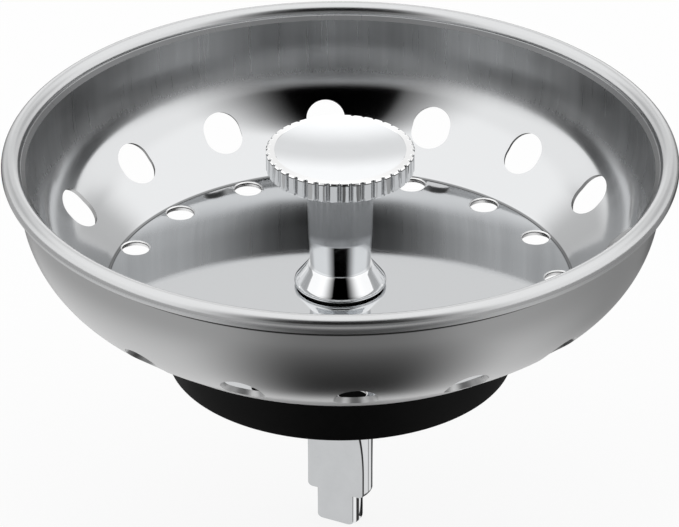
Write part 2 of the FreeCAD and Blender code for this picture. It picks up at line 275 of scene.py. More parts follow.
basketSizes = {
    "rimRadius": 41.25,
    "rollRadius": 1.17,
    "rollGap": 0.25,
    "flareWidth": 0.56,
    "flareHeight": 0.45,
    "sheet": 0.7,
    "wallHeight": 3.49,
    "curveRadius": 12.8,
    "slopeAngle": 34.7,
    "slopeLength": 5.16,
    "bendRadius": 0.8,
    "shankHole": 3.28,
    "underside": 9.3,
    "holes": 16,
    "largeHoleWidth": 4.9,
    "largeHoleStretch": 0.9,
    "largeHoleAngle": 46.5,
    "smallHoleDiameter": 3.4,
    "smallHoleInset": 1.75,
    "smallHoleFlare": 0.17,
    "smallHoleFlareDepth": 0.12,
    "holeLand": 0.24,
    "holeTaper": 0.35,
    "largePunchInside": 2.0,
    "largePunchOutside": 3.0,
    "largePunchSteps": 64,
    "smallPunchBelow": 2.4,
    "smallPunchAbove": 2.0,
    "smallPunchSteps": 48,
    "stepsPerHole": 20,
    "curveSteps": 30,
    "rollSteps": 52,
    "bendSteps": 6,
    "floorCuts": 5,
    "slopeCuts": 5,
    "wallCuts": 3,
    "sharpAngle": 32,
}


def turnBasket(sizes):
    sheet = sizes["sheet"]
    slope = math.radians(sizes["slopeAngle"])
    wallInside = sizes["rimRadius"] - 2 * sizes["rollRadius"] - sizes["flareWidth"]
    wallOutside = wallInside + sheet
    floorTop = sizes["underside"] + sheet
    curve = sizes["curveRadius"]
    curveR = wallInside - curve
    curveZ = floorTop + sizes["slopeLength"] * math.sin(slope) + curve * math.cos(slope)
    bend = sizes["bendRadius"]
    floorRadius = wallInside - curve * (1 - math.sin(slope)) - sizes["slopeLength"] * math.cos(slope)
    bendR = floorRadius - bend * math.tan(slope / 2)
    bendZ = floorTop + bend
    bendOutside = bend + sheet
    roll = sizes["rollRadius"]
    rollInside = roll - sheet
    rollR = sizes["rimRadius"] - roll
    rollZ = curveZ + sizes["wallHeight"]
    flareFoot = rollZ - sizes["flareHeight"]
    lap = math.asin((rollInside - sizes["rollGap"]) / roll)
    rollSweep = 270 + math.degrees(lap)
    upright = 90 - sizes["slopeAngle"]

    line = Section(sizes["shankHole"], floorTop)
    line.lineTo(bendR, floorTop, sizes["floorCuts"])
    line.arcAround(bendR, bendZ, sizes["slopeAngle"], sizes["bendSteps"])
    line.lineTo(curveR + curve * math.sin(slope), curveZ - curve * math.cos(slope), sizes["slopeCuts"])
    line.arcAround(curveR, curveZ, upright, sizes["curveSteps"])
    line.lineTo(wallInside, flareFoot, sizes["wallCuts"])
    line.lineTo(rollR - roll, rollZ)
    line.arcAround(rollR, rollZ, -rollSweep, sizes["rollSteps"])
    line.lineTo(rollR - rollInside * math.sin(lap), rollZ - rollInside * math.cos(lap))
    line.arcAround(rollR, rollZ, rollSweep, sizes["rollSteps"] // 2)
    line.lineTo(wallOutside, flareFoot)
    line.lineTo(wallOutside, curveZ, sizes["wallCuts"])
    line.arcAround(curveR, curveZ, -upright, sizes["curveSteps"])
    line.lineTo(bendR + bendOutside * math.sin(slope), bendZ - bendOutside * math.cos(slope),
                sizes["slopeCuts"])
    line.arcAround(bendR, bendZ, -sizes["slopeAngle"], sizes["bendSteps"])
    line.lineTo(sizes["shankHole"], sizes["underside"], sizes["floorCuts"])
    line.close()
    wedge = line.turnWedge(sizes["stepsPerHole"], math.tau / sizes["holes"])
    return meshObject(wedge, "strainer_basket"), (curveR, curveZ), floorRadius


def largePunch(sizes, curveCentre):
    # an oval bar that stands square to the curve and widens outwards, as a punched hole does
    bm = bmesh.new()
    halfWidth = sizes["largeHoleWidth"] / 2
    inwards = sizes["largePunchInside"]
    outwards = sizes["largePunchOutside"]
    steps = sizes["largePunchSteps"]
    middle = sizes["curveRadius"] + (outwards - inwards) / 2
    place = Matrix.Translation((0, 0, middle)) @ Matrix.Rotation(math.pi / steps, 4, "Z")
    bmesh.ops.create_cone(bm, cap_ends=True, segments=steps, radius1=halfWidth - inwards * sizes["holeTaper"],
                          radius2=halfWidth + outwards * sizes["holeTaper"], depth=inwards + outwards,
                          matrix=place)
    reach = sizes["largeHoleStretch"] / 2
    rightHalf = [v for v in bm.verts if v.co.x > 0]
    leftHalf = [v for v in bm.verts if v.co.x < 0]
    bmesh.ops.translate(bm, verts=rightHalf, vec=(reach, 0, 0))
    bmesh.ops.translate(bm, verts=leftHalf, vec=(-reach, 0, 0))
    rotateBy(bm, math.radians(90 + sizes["largeHoleAngle"]), "Y")
    bmesh.ops.translate(bm, verts=bm.verts[:], vec=(curveCentre[0], 0, curveCentre[1]))
    bmesh.ops.recalc_face_normals(bm, faces=bm.faces[:])
    return meshObject(bm, "large_punch")


def smallPunch(sizes, floorRadius):
    # a round bar that widens downwards, with a flared head that breaks the upper edge of the hole
    radius = sizes["smallHoleDiameter"] / 2
    mouth = radius + sizes["smallHoleFlare"]
    below = sizes["smallPunchBelow"]
    floorTop = sizes["underside"] + sizes["sheet"]
    landFoot = floorTop - sizes["holeLand"]
    punchTop = floorTop + sizes["smallPunchAbove"]
    line = Section(0, landFoot - below)
    line.lineTo(radius + below * sizes["holeTaper"], landFoot - below)
    line.lineTo(radius, landFoot)
    line.lineTo(radius, floorTop - sizes["smallHoleFlareDepth"])
    line.lineTo(mouth, floorTop)
    line.lineTo(mouth, punchTop)
    line.lineTo(0, punchTop)
    bm = line.turn(sizes["smallPunchSteps"])
    bmesh.ops.translate(bm, verts=bm.verts[:], vec=(floorRadius - sizes["smallHoleInset"], 0, 0))
    return meshObject(bm, "small_punch")


def carryRound(piece, count):
    # the cut ends of the slice come off, and the slice is repeated until the ring closes
    bm = bmesh.new()
    bm.from_mesh(piece.data)
    edgeAngle = math.pi / count

    def onEnd(vert):
        angle = abs(math.atan2(vert.co.y, vert.co.x))
        return abs(angle - edgeAngle) < meshing["sliceAngleError"]

    ends = [face for face in bm.faces if all(onEnd(vert) for vert in face.verts)]
    bmesh.ops.delete(bm, geom=ends, context="FACES_ONLY")
    bmesh.ops.spin(bm, geom=bm.verts[:] + bm.edges[:] + bm.faces[:], cent=(0, 0, 0), axis=(0, 0, 1),
                   angle=math.tau * (count - 1) / count, steps=count - 1, use_duplicate=True)
    bmesh.ops.remove_doubles(bm, verts=bm.verts[:], dist=meshing["ringMergeMetres"])
    bmesh.ops.recalc_face_normals(bm, faces=bm.faces[:])
    bm.to_mesh(piece.data)
    bm.free()


basketLook = {
    "polished": grey(0.64, 0.012),
    "floor": grey(0.68, 0.016),
    # painted shade: a dark line along the bend round the floor, where a bright line would show
    "bend": grey(0.22, 0.012),
    "brushed": grey(0.32, 0.016),
    "brushedLight": grey(0.50, 0.016),
    "rim": grey(0.59, 0.008),
    # painted shade: the flared band under the roll is darkened where it would reflect the soft box
    "flareShade": grey(0.17, 0.016),
    "outside": grey(0.53, 0.004),
    # painted shadow: a dark line on the outside where the roll meets the wall
    "creaseShadow": grey(0.05),
    # painted highlights: the flares and walls of the small holes are near white, so they show bright
    "holeFlareHighlight": grey(0.92),
    "holeWallHighlight": grey(0.90),
    # painted dark reflection on the land just below the flare of each small hole
    "holeLand": grey(0.10),
    "insideFacing": (-0.15, 0.15),
    "rimHeight": (26.88, 26.96),
    "rimReach": (39.2, 39.4),
    "rimUnderHeight": (27.0, 26.4),
    "flareHeight": (26.46, 26.52),
    "creaseHeight": (24.70, 24.85),
    "creaseReach": (39.35, 39.2),
    "brushedHeight": (17.0, 20.4),
    "floorReach": (29.2, 28.2),
    "holeReach": (0.3, 0.2),
    "holeTop": (-0.003, -0.008),
    "holeFoot": (0.002, 0.01),
    "holeFlareFoot": (0.0, 0.01),
    "holeLandTop": (0.0, -0.01),
    "holeLandFoot": (-0.02, 0.0),
    "bendShadeBand": (-0.30, -0.15, 0.11, 0.26),
    "polishedRoughness": 0.09,
    "floorRoughness": 0.05,
    "brushedRoughness": 0.30,
    "brushedSpread": 0.16,
    "rimRoughness": 0.22,
    "rimUnderRoughness": 0.45,
    "rimSpread": 0.06,
    "holeRoughness": 0.45,
    "outsideRoughness": 0.33,
    "outsideSpread": 0.10,
    "streakRadius": 38.0,
    "streakWidth": 0.35,
    "streakRise": 0.06,
    "streaks": (1.0, 2.0, 0.6),
    "broadStreaks": (0.16, 2.0, 0.6),
    "grain": (5.5, 3.0, 0.65),
    "ringDensity": 9.0,
    "ringShare": 0.5,
    "bump": 0.04,
    "bumpDepth": 0.05,
}


def basketSteel(sizes, floorRadius, look):
    material, shades = newLook("basket_steel_finish")
    x, y, z, radius = shades.millimetres()
    coordinates = shades.node("ShaderNodeTexCoord")
    nx, ny, nz = shades.split(shades.out(coordinates, "Normal"))
    outwards = (nx * x + ny * y) / radius
    inside = shades.rise(nz - outwards, look["insideFacing"])
    outside = 1.0 - inside

    # where each finish begins: floor, polished slope, brushed wall, rolled rim
    rim = shades.highest(shades.rise(z, look["rimHeight"]), shades.rise(radius, look["rimReach"]))
    # painted shade on the flared band between the wall and the roll, inside only
    flareShade = shades.rise(z, look["flareHeight"]) * (1.0 - rim) * inside
    rimUnder = shades.rise(z, look["rimUnderHeight"])
    # painted shadow in the narrow gap under the roll, outside only
    creaseShadow = shades.rise(z, look["creaseHeight"]) * shades.rise(radius, look["creaseReach"]) * outside
    brushed = shades.rise(z, look["brushedHeight"])
    floor = shades.rise(radius, look["floorReach"])

    # the walls of the small holes, with painted highlights on their flares and walls and a painted dark
    # reflection on the land below the flare, and painted shade along the bend round the floor
    floorTop = sizes["underside"] + sizes["sheet"]
    flareFoot = floorTop - sizes["smallHoleFlareDepth"]
    landFoot = floorTop - sizes["holeLand"]
    withinFloor = shades.rise(radius, look["holeReach"], floorRadius)
    belowTop = shades.rise(z, look["holeTop"], floorTop)
    belowFlare = shades.rise(z, look["holeLandTop"], flareFoot)
    holeFlareHighlight = shades.rise(z, look["holeFlareFoot"], flareFoot) * belowTop * withinFloor
    # painted dark reflection on the land below each flare
    holeLand = shades.rise(z, look["holeLandFoot"], landFoot) * belowFlare * withinFloor
    holeWallHighlight = shades.rise(z, look["holeFoot"], sizes["underside"]) * belowTop * withinFloor
    # painted shade along the bend, inside only
    bend = shades.band(radius, look["bendShadeBand"], floorRadius) * inside

    # brushing runs up and down the wall, so it changes fast round the axis and slowly with height
    around = look["streakRadius"] / look["streakWidth"]
    streakPlace = shades.join(x / radius * around, y / radius * around, z * look["streakRise"])
    streaks = shades.noise(streakPlace, *look["streaks"])
    broadStreaks = shades.noise(streakPlace, *look["broadStreaks"])
    grain = shades.noise(shades.join(x, y, z), *look["grain"])
    turningLines = shades.rings(radius, z, look["ringDensity"])

    roughness = shades.blendNumbers(floor, look["polishedRoughness"], look["floorRoughness"])
    brushedRoughness = shades.vary(look["brushedRoughness"], streaks, look["brushedSpread"])
    roughness = shades.blendNumbers(brushed, roughness, brushedRoughness)
    outsideRoughness = shades.vary(look["outsideRoughness"], grain, look["outsideSpread"])
    roughness = shades.blendNumbers(outside, roughness, outsideRoughness)
    rimRoughness = shades.blendNumbers(rimUnder, look["rimRoughness"], look["rimUnderRoughness"])
    rimRoughness = shades.vary(rimRoughness, broadStreaks, look["rimSpread"])
    roughness = shades.blendNumbers(rim, roughness, rimRoughness)
    roughness = shades.blendNumbers(holeWallHighlight, roughness, look["holeRoughness"])

    wallColour = shades.blendColours(broadStreaks, look["brushed"], look["brushedLight"])
    colour = shades.blendColours(floor, look["polished"], look["floor"])
    colour = shades.blendColours(brushed, colour, wallColour)
    # the outside and the rim take their own colours, the other layers are painted shade and painted
    # highlights
    layers = {"outside": outside, "rim": rim, "creaseShadow": creaseShadow, "flareShade": flareShade, "bend": bend,
              "holeWallHighlight": holeWallHighlight, "holeFlareHighlight": holeFlareHighlight, "holeLand": holeLand}
    for name, mask in layers.items():
        colour = shades.blendColours(mask, colour, look[name])

    satin = shades.highest(brushed, shades.highest(rim, outside))
    relief = streaks * brushed * inside + turningLines * outside * look["ringShare"]
    relief = relief * satin * (1.0 - rim)
    finishLook(shades, {
        "Base Color": colour,
        "Metallic": 1.0,
        "Roughness": roughness,
        "Normal": shades.bump(relief, look["bump"], look["bumpDepth"]),
    })
    return material


basket, curveCentre, floorRadius = turnBasket(basketSizes)
cutAway(basket, largePunch(basketSizes, curveCentre))
cutAway(basket, smallPunch(basketSizes, floorRadius))
carryRound(basket, basketSizes["holes"])
basketFinish = basketSteel(basketSizes, floorRadius, basketLook)
standIn(basket, "basket", "basket", basketFinish, basketSizes["sharpAngle"])
print("basket turned and pierced:", len(basket.data.polygons), "faces")


# Stopper: the rubber disc with its cup and hub

stopperSizes = {
    "radius": 21.3,
    "height": 8.3,
    "edgeRadius": 1.0,
    "lipRadius": 0.3,
    "skirtInside": 16.3,
    "hubRadius": 9.5,
    "hubHeight": 3.08,
    "cupDepth": 5.0,
    "bore": 3.28,
    "innerLipSteps": 4,
    "outerLipSteps": 6,
    "edgeSteps": 10,
    "sideCuts": 3,
    "turnSteps": 192,
    "sharpAngle": 40,
}


def turnStopper(sizes):
    radius = sizes["radius"]
    edge = sizes["edgeRadius"]
    lip = sizes["lipRadius"]
    line = Section(sizes["bore"], sizes["hubHeight"])
    line.lineTo(sizes["hubRadius"], sizes["hubHeight"])
    line.lineTo(sizes["hubRadius"], sizes["cupDepth"])
    line.lineTo(sizes["skirtInside"], sizes["cupDepth"])
    line.lineTo(sizes["skirtInside"], lip)
    line.arcAround(sizes["skirtInside"] + lip, lip, 90, sizes["innerLipSteps"])
    line.lineTo(radius - lip, 0)
    line.arcAround(radius - lip, lip, 90, sizes["outerLipSteps"])
    line.lineTo(radius, sizes["height"] - edge, sizes["sideCuts"])
    line.arcAround(radius - edge, sizes["height"] - edge, 90, sizes["edgeSteps"])
    line.lineTo(sizes["bore"], sizes["height"])
    line.close()
    return meshObject(line.turn(sizes["turnSteps"]), "strainer_stopper")


stopperLook = {
    "base": grey(0.0015),
    "bloom": grey(0.004),
    "clouds": (0.35, 3.0, 0.6),
    "pores": (9.0, 2.0, 0.5),
    "roughness": 0.6,
    "cloudSpread": 0.14,
    "poreSpread": 0.10,
    "shine": 0.08,
    "bump": 0.12,
    "bumpDepth": 0.04,
}


def stopperRubber(look):
    material, shades = newLook("stopper_rubber_finish")
    x, y, z, radius = shades.millimetres()
    place = shades.join(x, y, z)
    clouds = shades.noise(place, *look["clouds"])
    pores = shades.noise(place, *look["pores"])
    roughness = shades.vary(look["roughness"], clouds, look["cloudSpread"])
    finishLook(shades, {
        "Base Color": shades.blendColours(clouds, look["base"], look["bloom"]),
        "Roughness": shades.vary(roughness, pores, look["poreSpread"]),
        "Specular IOR Level": look["shine"],
        "Normal": shades.bump(pores, look["bump"], look["bumpDepth"]),
    })
    return material


stopper = turnStopper(stopperSizes)
stopperFinish = stopperRubber(stopperLook)
standIn(stopper, "stopper", "basket", stopperFinish, stopperSizes["sharpAngle"])
print("stopper turned")


# Chrome of the knob, collar and post

chromePlate = {
    "haze": (0.45, 3.0, 0.6),
    "ripples": (0.9, 1.0, 0.4),
    "hazeSpread": 0.05,
    "bump": 0.02,
    "bumpDepth": 0.02,
}


def chromeSockets(shades, place, look):
    haze = shades.noise(place, *chromePlate["haze"])
    ripples = shades.noise(place, *chromePlate["ripples"])
    return {
        "Base Color": shades.blendColours(haze, look["bright"], look["dull"]),
        "Metallic": 1.0,
        "Roughness": shades.vary(look["roughness"], haze, chromePlate["hazeSpread"]),
        "Normal": shades.bump(ripples, chromePlate["bump"], chromePlate["bumpDepth"]),
    }


# Knob: knurled head on a tapered neck

knobSizes = {
    "neckFoot": 12.89,
    "neckFootRadius": 3.70,
    "neckWaistRadius": 3.97,
    "neckWaistHeight": 4.6,
    "neckTopRadius": 4.10,
    "neckLength": 13.2,
    "radius": 9.07,
    "thickness": 2.6,
    "bevel": 0.15,
    "lipWidth": 0.92,
    "lipDrop": 0.05,
    "lipStep": 0.06,
    "lipStepWidth": 0.08,
    "dishDepth": 0.54,
    "teeth": 40,
    "grooveFloor": 0.06,
    "toothFace": 0.50,
    "grooveDepth": 0.4,
    "headMargin": 0.01,
    "insertHole": 3.05,
    "insertDepth": 8.0,
    "boreDepth": 9.0,
    "boreRadius": 2.05,
    "handleTurn": 59.25,
    "neckCuts": 7,
    "headCuts": 1,
    "sideCuts": 3,
    "lipCuts": 3,
    "dishSteps": 14,
    "stepsPerTooth": 20,
    "sharpAngle": 25,
}


def turnKnob(sizes):
    foot = sizes["neckFoot"]
    underside = foot + sizes["neckLength"]
    top = underside + sizes["thickness"]
    radius = sizes["radius"]
    bevel = sizes["bevel"]
    shoulder = top - sizes["lipDrop"]
    dishRadius = radius - bevel - sizes["lipWidth"]
    dishEdge = top - sizes["lipStep"]
    depth = sizes["dishDepth"]
    dishCurve = (dishRadius ** 2 + depth ** 2) / (2 * depth)
    dishAngle = math.degrees(math.asin(dishRadius / dishCurve))
    line = Section(sizes["insertHole"], foot)
    line.lineTo(sizes["neckFootRadius"], foot)
    line.lineTo(sizes["neckWaistRadius"], foot + sizes["neckWaistHeight"], sizes["neckCuts"])
    line.lineTo(sizes["neckTopRadius"], underside, sizes["neckCuts"])
    line.lineTo(radius - bevel, underside, sizes["headCuts"])
    line.lineTo(radius, underside + bevel)
    line.lineTo(radius, shoulder - bevel, sizes["sideCuts"])
    line.lineTo(radius - bevel, shoulder)
    line.lineTo(dishRadius + sizes["lipStepWidth"], top, sizes["lipCuts"])
    line.lineTo(dishRadius, dishEdge)
    line.arcAround(0, dishEdge - depth + dishCurve, -dishAngle, sizes["dishSteps"])
    line.lineTo(0, foot + sizes["boreDepth"])
    line.lineTo(sizes["boreRadius"], foot + sizes["boreDepth"])
    line.lineTo(sizes["boreRadius"], foot + sizes["insertDepth"])
    line.lineTo(sizes["insertHole"], foot + sizes["insertDepth"])
    line.close()
    bm = line.turn(sizes["teeth"] * sizes["stepsPerTooth"])
    pressGrooves(bm, sizes)
    rotateBy(bm, math.radians(sizes["handleTurn"]), "Z")
    return meshObject(bm, "strainer_knob")


def pressGrooves(bm, sizes):
    # the rim of the head is pushed in to a wavy outline, and the underside of the head goes with it
    pitch = math.tau / sizes["teeth"]
    root = sizes["radius"] - sizes["grooveDepth"]
    headStart = sizes["neckFoot"] + sizes["neckLength"] - sizes["headMargin"]
    for vert in bm.verts:
        across = math.hypot(vert.co.x, vert.co.y)
        if across < root or vert.co.z < headStart:
            continue
        turns = math.atan2(vert.co.y, vert.co.x) / pitch
        aside = abs(turns - round(turns)) * 2
        share = (aside - sizes["grooveFloor"]) / (sizes["toothFace"] - sizes["grooveFloor"])
        share = min(max(share, 0.0), 1.0)
        allowed = root + sizes["grooveDepth"] * share * share * (3 - 2 * share)
        if across > allowed:
            vert.co.x *= allowed / across
            vert.co.y *= allowed / across
    bmesh.ops.remove_doubles(bm, verts=bm.verts[:], dist=meshing["mergeDistance"])
    bmesh.ops.recalc_face_normals(bm, faces=bm.faces[:])


knobLook = {
    "bright": grey(0.80, 0.016),
    "dull": grey(0.77, 0.014),
    "roughness": 0.04,
    # painted dark reflection on the upper neck, which is also rougher
    "haze": grey(0.40, 0.018),
    "hazeRoughness": 0.2,
    "neckShadeHeight": (16.4, 17.4),
    "neckShadeTilt": 0.3,
    "neckTop": (0.0, -0.1),
    # painted shade on the teeth, darker still in the grooves
    "toothShade": grey(0.62, 0.016),
    "groove": grey(0.42, 0.016),
    "toothEdge": 0.04,
    "grooveEdge": 0.1,
    "sideFoot": (0.0, 0.1),
    "sideTop": (-0.02, 0.02),
    "sideReach": (-0.1, -0.05),
    # painted shadow: a dark line just below the upper bevel
    "capShadowLine": grey(0.10),
    "capShadowLineHeight": (-0.17, -0.11),
    # painted highlight on the lip and its upper bevel
    "lip": grey(0.97),
}


def knobChrome(sizes, look):
    # bright plate with painted shade: a painted dark reflection on the rougher upper neck, painted shade on
    # the teeth and more in the grooves, a painted shadow line under the bevel and a painted highlight on the
    # lip
    material, shades = newLook("knob_chrome_finish")
    x, y, z, radius = shades.millimetres()
    sockets = chromeSockets(shades, shades.join(x, y, z), look)
    underside = sizes["neckFoot"] + sizes["neckLength"]
    root = sizes["radius"] - sizes["grooveDepth"]

    # painted dark reflection along the upper neck, its lower edge tilted along y
    neckShade = shades.rise(z + y * look["neckShadeTilt"], look["neckShadeHeight"])
    neckShade = neckShade * shades.rise(z, look["neckTop"], underside)

    # toothed side below the upper bevel, with painted shade on the teeth and more in the grooves, and the lip
    # with that bevel above it, painted as a highlight
    sideTop = underside + sizes["thickness"] - sizes["lipDrop"] - sizes["bevel"]
    dishRadius = sizes["radius"] - sizes["bevel"] - sizes["lipWidth"]
    above = shades.rise(z, look["sideTop"], sideTop)
    side = shades.rise(z, look["sideFoot"], underside) * shades.rise(radius, look["sideReach"], root)
    side = side * (1.0 - above)
    grooveShadeShare = shades.rise(radius, (sizes["radius"] - look["toothEdge"], root + look["grooveEdge"]))
    # painted shadow line just below the upper bevel
    capShadowLine = side * shades.rise(z, look["capShadowLineHeight"], sideTop)
    # painted highlight on the lip and its bevel
    lip = above * shades.rise(radius, (0.0, sizes["lipStepWidth"]), dishRadius)

    colour = shades.blendColours(neckShade, sockets["Base Color"], look["haze"])
    colour = shades.blendColours(side, colour, shades.blendColours(grooveShadeShare, look["toothShade"], look["groove"]))
    colour = shades.blendColours(capShadowLine, colour, look["capShadowLine"])
    sockets["Base Color"] = shades.blendColours(lip, colour, look["lip"])
    sockets["Roughness"] = shades.blendNumbers(neckShade, sockets["Roughness"], look["hazeRoughness"])
    finishLook(shades, sockets)
    return material


knob = turnKnob(knobSizes)
knobFinish = knobChrome(knobSizes, knobLook)
standIn(knob, "knob", "handle", knobFinish, knobSizes["sharpAngle"])
print("knob turned and grooved:", len(knob.data.polygons), "faces")


# Collar: the flared foot under the neck

collarSizes = {
    "foot": 10.25,
    "radius": 5.63,
    "topRadius": 3.97,
    "height": 2.64,
    "lipHeight": 0.45,
    "edgeRadius": 0.2,
    "lipDrop": 0.08,
    "bevel": 0.06,
    "recessRadius": 4.95,
    "recessDepth": 0.23,
    "bore": 2.05,
    "edgeSteps": 5,
    "coneCuts": 7,
    "turnSteps": 192,
    "sharpAngle": 30,
}


def turnCollar(sizes):
    foot = sizes["foot"]
    edge = sizes["edgeRadius"]
    bevel = sizes["bevel"]
    radius = sizes["radius"]
    lip = foot + sizes["lipHeight"]
    top = foot + sizes["height"]
    line = Section(sizes["recessRadius"], foot)
    line.lineTo(radius - edge, foot)
    line.arcAround(radius - edge, foot + edge, 90, sizes["edgeSteps"])
    line.lineTo(radius, lip - sizes["lipDrop"])
    line.lineTo(radius - bevel, lip + bevel)
    line.lineTo(sizes["topRadius"], top - bevel, sizes["coneCuts"])
    line.lineTo(sizes["topRadius"] - bevel, top)
    line.lineTo(sizes["bore"], top)
    line.lineTo(sizes["bore"], foot + sizes["recessDepth"])
    line.lineTo(sizes["recessRadius"], foot + sizes["recessDepth"])
    line.close()
    return meshObject(line.turn(sizes["turnSteps"]), "strainer_collar")


collarLook = {
    "bright": grey(0.82, 0.010),
    "dull": grey(0.79, 0.008),
    "roughness": 0.04,
}


def collarChrome(look):
    material, shades = newLook("collar_chrome_finish")
    x, y, z, radius = shades.millimetres()
    finishLook(shades, chromeSockets(shades, shades.join(x, y, z), look))
    return material


collar = turnCollar(collarSizes)
collarFinish = collarChrome(collarLook)
standIn(collar, "collar", "handle", collarFinish, collarSizes["sharpAngle"])
print("collar turned")


# Drain post: stepped, with two flats that run out near the top

postSizes = {
    "foot": -23.3,
    "radius": 4.05,
    "tipRadius": 2.8,
    "tipLength": 4.2,
    "topHeight": 1.2,
    "edgeRadius": 0.5,
    "shankRadius": 2.0,
    "shankTop": 20.89,
    "shankChamfer": 0.4,
    "halfBlade": 1.4,
    "flatTop": -16.0,
    "runoutRadius": 31.0,
    "flatEdge": 0.12,
    "handleTurn": knobSizes["handleTurn"],
    "sideCuts": 23,
    "edgeSteps": 24,
    "turnSteps": 360,
    "sharpAngle": 30,
}


def turnPost(sizes):
    foot = sizes["foot"]
    edge = sizes["edgeRadius"]
    step = foot + sizes["tipLength"]
    chamfer = sizes["shankChamfer"]
    line = Section(0, foot)
    line.lineTo(sizes["tipRadius"] - edge, foot)
    line.arcAround(sizes["tipRadius"] - edge, foot + edge, 90, sizes["edgeSteps"])
    line.lineTo(sizes["tipRadius"], step)
    line.lineTo(sizes["radius"] - edge, step)
    line.arcAround(sizes["radius"] - edge, step + edge, 90, sizes["edgeSteps"])
    line.lineTo(sizes["radius"], sizes["topHeight"], sizes["sideCuts"])
    line.lineTo(sizes["shankRadius"], sizes["topHeight"])
    line.lineTo(sizes["shankRadius"], sizes["shankTop"] - chamfer)
    line.lineTo(sizes["shankRadius"] - chamfer, sizes["shankTop"])
    line.lineTo(0, sizes["shankTop"])
    bm = line.turn(sizes["turnSteps"])
    pressFlats(bm, sizes)
    rotateBy(bm, math.radians(sizes["handleTurn"]), "Z")
    return meshObject(bm, "strainer_drain_post")


def pressFlats(bm, sizes):
    # both sides are pressed to the blade, with a small round where flat and turned side meet
    runout = sizes["runoutRadius"]
    edge = sizes["flatEdge"]
    for vert in bm.verts:
        rise = min(max(vert.co.z - sizes["flatTop"], 0.0), runout)
        allowed = sizes["halfBlade"] + runout - math.sqrt(runout ** 2 - rise ** 2)
        reach = abs(vert.co.x)
        if reach < allowed - edge:
            continue
        pressed = allowed
        if reach < allowed + edge:
            pressed = reach - (reach - allowed + edge) ** 2 / (4 * edge)
        vert.co.x = math.copysign(pressed, vert.co.x)
    bmesh.ops.dissolve_degenerate(bm, edges=bm.edges[:], dist=meshing["mergeDistance"])
    bmesh.ops.recalc_face_normals(bm, faces=bm.faces[:])


postLook = {
    "bright": grey(0.61, 0.018),
    "dull": grey(0.55, 0.018),
    "roughness": 0.05,
    # one dark colour for the painted dark reflections and the painted shade on the post
    "edge": grey(0.02),
    "edgeReflectionBand": (0.02, 0.07, 0.24, 0.34),
    "edgeFoot": (0.4, 0.6),
    # painted reflections on the tip: a light stripe here, and dark stripes in the dark colour
    "tipHighlight": grey(0.86, 0.010),
    "tipTop": (0.0, -0.05),
    "tipInside": (0.10, 0.14),
    "tipReach": (-0.45, -0.35),
    "tipBand": (0.25, 0.31, 0.78, 0.85),
    "tipCorner": (-0.14, -0.22),
    # painted highlight on the round sides
    "roundSideHighlight": grey(0.70, 0.014),
    "roundFoot": (0.0, 0.05),
    "roundInside": (0.24, 0.34),
    "roundReach": (0.4, 0.5),
    "roundEdge": (0.60, 0.46),
    # painted reflection: a thin grey line down the middle of each round side
    "middleReflectionLine": grey(0.24, 0.018),
    "middleReflectionBand": (0.06, 0.12, 0.28, 0.34),
}


def postChrome(sizes, look):
    # bright plate, with a painted dark reflection line on the turned side along each edge of the flats
    material, shades = newLook("post_chrome_finish")
    x, y, z, radius = shades.millimetres()
    sockets = chromeSockets(shades, shades.join(x, y, z), look)
    turn = math.radians(sizes["handleTurn"])
    facing = x * math.cos(turn) + y * math.sin(turn)
    along = y * math.cos(turn) - x * math.sin(turn)
    runout = sizes["runoutRadius"]
    rise = shades.maths("MINIMUM", shades.highest(z - sizes["flatTop"], 0.0), runout)
    allowed = sizes["halfBlade"] + runout - shades.root(runout ** 2 - rise * rise)
    inwards = allowed - shades.size(facing)
    # painted dark reflection line along each edge of the flats
    edge = shades.band(inwards, look["edgeReflectionBand"]) * shades.rise(z, look["edgeFoot"], sizes["foot"])

    # the narrow turned sides of the tip carry painted reflections, light and dark stripes, placed from their
    # middle
    step = sizes["foot"] + sizes["tipLength"]
    onTip = shades.rise(z, look["tipTop"], step) * shades.rise(inwards, look["tipInside"])
    onTip = onTip * shades.rise(radius, look["tipReach"], sizes["tipRadius"])
    fromMiddle = facing * shades.maths("SIGN", along)
    tipBand = shades.band(fromMiddle, look["tipBand"])
    darkReflectionStripe = onTip * shades.highest(tipBand, shades.rise(fromMiddle, look["tipCorner"]))
    lightReflectionStripe = onTip * (1.0 - darkReflectionStripe)
    edge = shades.highest(edge * (1.0 - lightReflectionStripe), darkReflectionStripe)

    # the round sides are painted lighter as a highlight, with painted shade at the shoulder's edge and a
    # painted reflection line down their middle
    onRound = shades.rise(z, look["roundFoot"], step) * shades.rise(inwards, look["roundInside"])
    onRound = onRound * shades.rise(radius, look["roundReach"], sizes["tipRadius"])
    # painted reflection line down the middle of the round side
    middleReflection = onRound * shades.band(fromMiddle, look["middleReflectionBand"])
    # painted shade at the rounded edge of the shoulder
    edge = shades.highest(edge, onRound * shades.rise(z, look["roundEdge"], step))

    colour = shades.blendColours(lightReflectionStripe, sockets["Base Color"], look["tipHighlight"])
    colour = shades.blendColours(onRound, colour, look["roundSideHighlight"])
    colour = shades.blendColours(middleReflection, colour, look["middleReflectionLine"])
    sockets["Base Color"] = shades.blendColours(edge, colour, look["edge"])
    finishLook(shades, sockets)
    return material


post = turnPost(postSizes)
postFinish = postChrome(postSizes, postLook)
standIn(post, "drain_post", "handle", postFinish, postSizes["sharpAngle"])
print("drain post turned and flatted")


# Hidden hardware keeps its CAD shape and gets its finish

washerLook = {
    "base": grey(0.62),
    "stained": grey(0.54),
    "roughness": 0.32,
}

brassLook = {
    "base": (0.72, 0.52, 0.22, 1),
    "stained": (0.60, 0.42, 0.17, 1),
    "roughness": 0.28,
}

